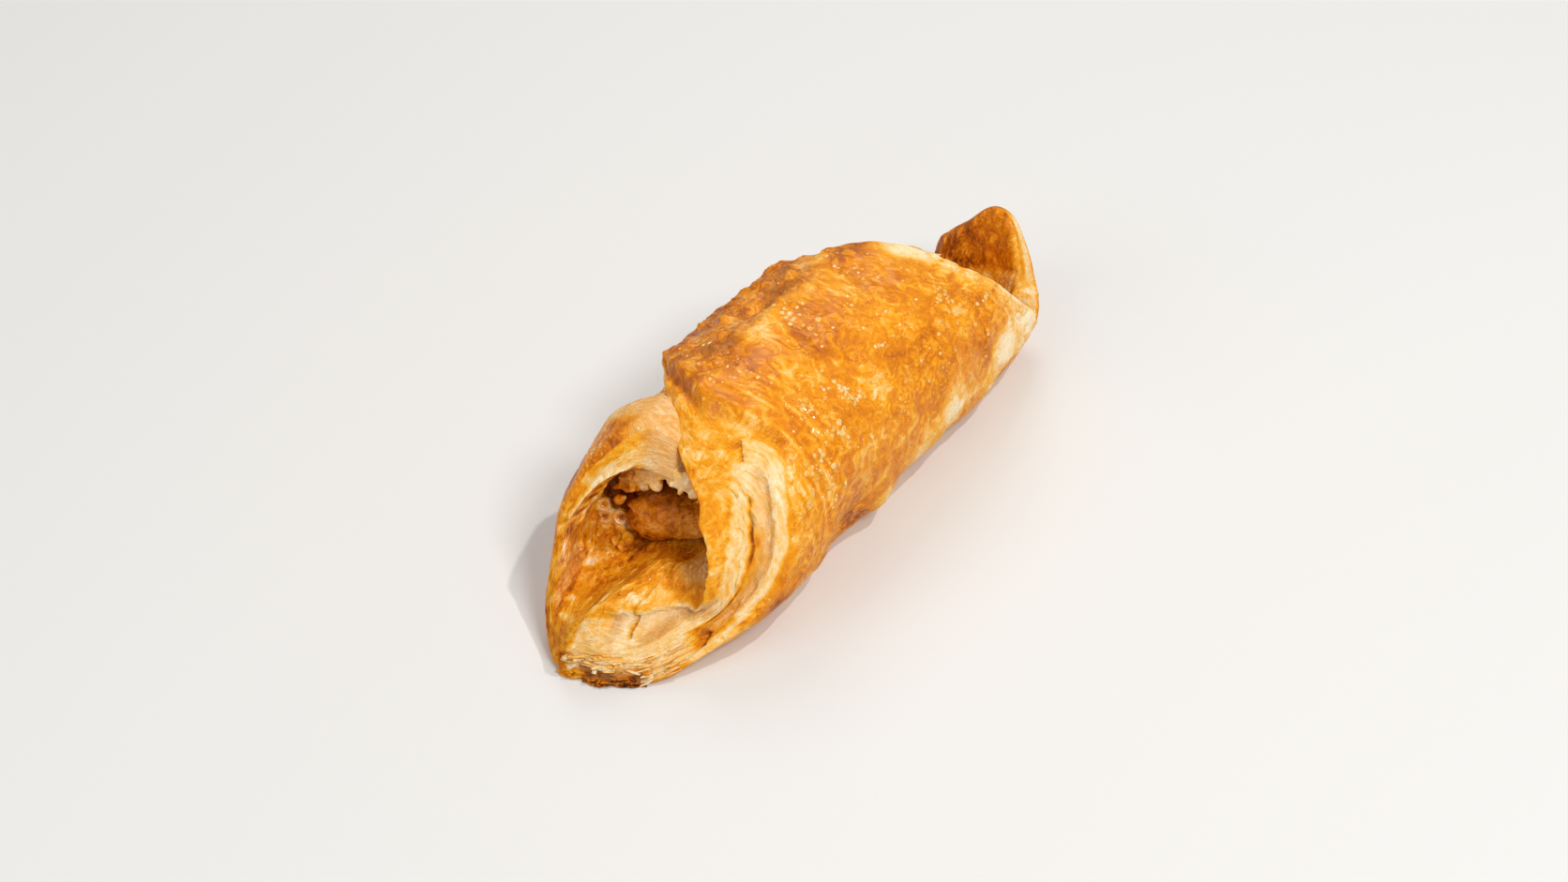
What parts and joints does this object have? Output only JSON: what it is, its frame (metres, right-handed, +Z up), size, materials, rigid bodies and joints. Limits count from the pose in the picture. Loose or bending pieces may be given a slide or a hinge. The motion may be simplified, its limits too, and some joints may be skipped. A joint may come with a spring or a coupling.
{
  "type": "cream cheese puff pastry",
  "caption": "Folded puff pastry with a domed golden crust, an open mouth showing flaky layers and a browned cream cheese filling, and an upright far corner.",
  "frame": {"origin": "middle of the pastry's outline, on the surface it rests on", "axes": "+X along the pastry from the open mouth to the upright far corner, +Z up"},
  "size_m": [0.155, 0.0552, 0.0417],
  "materials": {
    "crust": "baked laminated dough with an egg-washed golden crust and pale flaky cut edges",
    "filling": "caramelised cream cheese, brown and glossy"
  },
  "bodies": {
    "root": {"pastry": "crust", "filling": "filling"}
  },
  "joints": []
}
